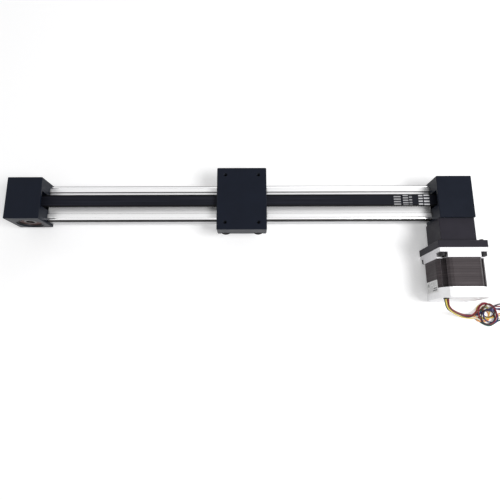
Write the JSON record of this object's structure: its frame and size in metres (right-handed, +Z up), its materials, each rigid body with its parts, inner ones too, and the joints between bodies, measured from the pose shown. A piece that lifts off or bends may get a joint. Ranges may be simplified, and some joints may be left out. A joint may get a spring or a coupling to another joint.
{
  "type": "belt-driven linear module",
  "caption": "Belt-driven linear module: a carriage on grooved rollers runs along two guide rods on an aluminium rail, pulled by a toothed belt from a stepper motor set across its end.",
  "frame": {"origin": "middle of the rail's bottom face", "axes": "+X along the rail towards the drive end, +Y to the back, away from the motor, +Z up through the carriage"},
  "size_m": [0.6196, 0.1909, 0.057],
  "materials": {
    "black_anodised": "satin black anodised",
    "dark_anodised": "satin dark anodised",
    "clear_anodised": "bright clear anodised, drawn",
    "ground_rod": "ground and polished",
    "bearing_steel": "ground",
    "seal_rubber": "moulded, matt",
    "spring_steel": "phosphated",
    "shaft_steel": "ground",
    "belt_rubber": "moulded, matt",
    "pulley_aluminium": "turned",
    "flange_steel": "plated",
    "black_screw": "black oxide",
    "bright_screw": "zinc plated",
    "cast_aluminium": "bead blasted, bright",
    "lamination_steel": "laminated, varnished",
    "spider_rubber": "moulded",
    "grommet_rubber": "moulded, matt",
    "label_film": "bare white film",
    "lead_insulation": "extruded, in several colours"
  },
  "bodies": {
    "frame": {"rail_extrusion": "clear_anodised", "guide_rod_front": "ground_rod", "guide_rod_rear": "ground_rod", "idler_block": "black_anodised", "drive_block": "black_anodised", "rail_end_screws": "black_screw", "timing_belt": "belt_rubber", "idler_bearing_outer_races": "bearing_steel", "drive_bearing_outer_races": "bearing_steel", "idler_bearing_seals": "seal_rubber", "drive_bearing_seals": "seal_rubber", "idler_circlips": "spring_steel", "drive_circlips": "spring_steel", "coupling_housing": "dark_anodised", "motor_adapter_plate": "dark_anodised", "housing_screws": "black_screw", "motor_front_bell": "cast_aluminium", "motor_stator_stack": "lamination_steel", "motor_rear_bell": "cast_aluminium", "motor_bearings": "bearing_steel", "motor_mount_screws": "black_screw", "motor_through_bolts": "bright_screw", "lead_grommet": "grommet_rubber", "motor_label": "label_film", "lead_bundle": "lead_insulation", "lead_coil": "lead_insulation", "lead_tail": "lead_insulation"},
    "carriage": {"carriage_block": "black_anodised", "belt_clamp": "flange_steel", "belt_clamp_screws": "black_screw", "roller_inner_races": "bearing_steel", "roller_washers": "flange_steel", "roller_axles": "black_screw"},
    "drive_train": {"drive_shaft": "shaft_steel", "drive_pulley": "pulley_aluminium", "drive_pulley_flanges": "flange_steel", "drive_bearing_inner_races": "bearing_steel", "coupling_hub_drive": "pulley_aluminium", "coupling_hub_motor": "pulley_aluminium", "coupling_spider": "spider_rubber", "motor_shaft": "shaft_steel", "motor_rotor": "lamination_steel"},
    "idler": {"idler_shaft": "shaft_steel", "idler_pulley": "pulley_aluminium", "idler_pulley_flanges": "flange_steel", "idler_bearing_inner_races": "bearing_steel"},
    "roller_front_left": {"track_roller_front_left": "bearing_steel"},
    "roller_front_right": {"track_roller_front_right": "bearing_steel"},
    "roller_rear_left": {"track_roller_rear_left": "bearing_steel"},
    "roller_rear_right": {"track_roller_rear_right": "bearing_steel"}
  },
  "joints": [
    {"name": "carriage_slide", "type": "slide", "parent": "frame", "child": "carriage", "axis": [1, 0, 0], "range_m": [-0.209, 0.203], "deforming": ["timing_belt"]},
    {"name": "drive_spin", "type": "hinge", "parent": "frame", "child": "drive_train", "pos_m": [0.258, 0, 0.0165], "axis": [0, 1, 0], "continuous": true},
    {"name": "idler_spin", "type": "hinge", "parent": "frame", "child": "idler", "pos_m": [-0.258, 0, 0.0165], "axis": [0, 1, 0], "continuous": true},
    {"name": "roller_front_left_spin", "type": "hinge", "parent": "carriage", "child": "roller_front_left", "pos_m": [-0.017, -0.03, 0.015], "axis": [0, 0, 1], "continuous": true},
    {"name": "roller_front_right_spin", "type": "hinge", "parent": "carriage", "child": "roller_front_right", "pos_m": [0.023, -0.03, 0.015], "axis": [0, 0, 1], "continuous": true},
    {"name": "roller_rear_left_spin", "type": "hinge", "parent": "carriage", "child": "roller_rear_left", "pos_m": [-0.017, 0.03, 0.015], "axis": [0, 0, 1], "continuous": true},
    {"name": "roller_rear_right_spin", "type": "hinge", "parent": "carriage", "child": "roller_rear_right", "pos_m": [0.023, 0.03, 0.015], "axis": [0, 0, 1], "continuous": true}
  ],
  "couplings": [
    {"joint": "drive_spin", "follows": "carriage_slide", "rad_per_m": 104.72},
    {"joint": "idler_spin", "follows": "carriage_slide", "rad_per_m": 104.72},
    {"joint": "roller_front_left_spin", "follows": "carriage_slide", "rad_per_m": 138.89},
    {"joint": "roller_front_right_spin", "follows": "carriage_slide", "rad_per_m": 138.89},
    {"joint": "roller_rear_left_spin", "follows": "carriage_slide", "rad_per_m": -138.89},
    {"joint": "roller_rear_right_spin", "follows": "carriage_slide", "rad_per_m": -138.89}
  ]
}
